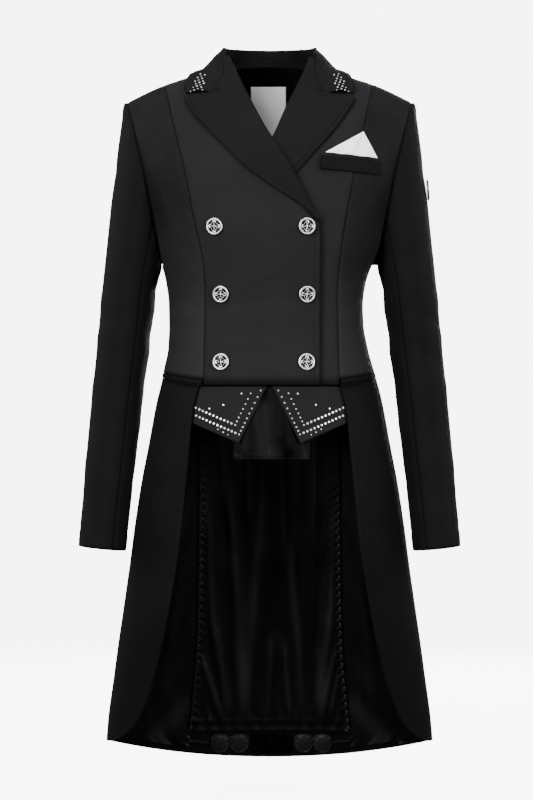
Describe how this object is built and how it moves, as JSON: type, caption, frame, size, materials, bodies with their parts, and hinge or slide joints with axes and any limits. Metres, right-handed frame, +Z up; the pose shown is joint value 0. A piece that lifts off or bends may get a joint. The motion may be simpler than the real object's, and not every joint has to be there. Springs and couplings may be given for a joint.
{
  "type": "dressage tailcoat",
  "caption": "Double-breasted riding tailcoat with peak lapels, cut-away skirts and a lined tail, in the hollow form it has when worn.",
  "frame": {"origin": "inside the neck, in the middle, at the height of the seam between the back and the collar, where the wearer's neck and shoulders hold the coat", "axes": "+Z up, +X towards the wearer's left, -Y towards the front"},
  "size_m": [0.5316, 0.2825, 1.0141],
  "materials": {
    "cloth": "matte black technical cloth with a fine weave",
    "satin": "glossy black satin",
    "white_cotton": "plain white cotton",
    "silver": "polished silver-coloured metal with dark recesses",
    "label": "silver-grey woven ribbon"
  },
  "bodies": {
    "root": {"arm_badge": "silver", "back_left": "cloth", "back_right": "cloth", "button_bottom_left": "silver", "button_bottom_right": "silver", "button_middle_left": "silver", "button_middle_right": "silver", "button_top_left": "silver", "button_top_right": "silver", "collar": "cloth", "front_left_centre": "cloth", "front_left_side": "cloth", "front_right_centre": "cloth", "front_right_side": "cloth", "hem_weight_inner_left": "satin", "hem_weight_inner_right": "satin", "hem_weight_outer_left": "satin", "hem_weight_outer_right": "satin", "inner_flap": "satin", "label_tab": "label", "lapel_left": "cloth", "lapel_right": "cloth", "lining_centre": "satin", "lining_side_left": "satin", "lining_side_right": "satin", "neck_label": "label", "pocket_square": "white_cotton", "pocket_welt": "cloth", "point_left": "cloth", "point_right": "cloth", "skirt_left": "cloth", "skirt_right": "cloth", "sleeve_left_under": "cloth", "sleeve_left_upper": "cloth", "sleeve_right_under": "cloth", "sleeve_right_upper": "cloth", "tail_back": "cloth", "tail_pleats": "satin", "waist_band_left": "cloth", "waist_band_right": "cloth"}
  },
  "joints": []
}
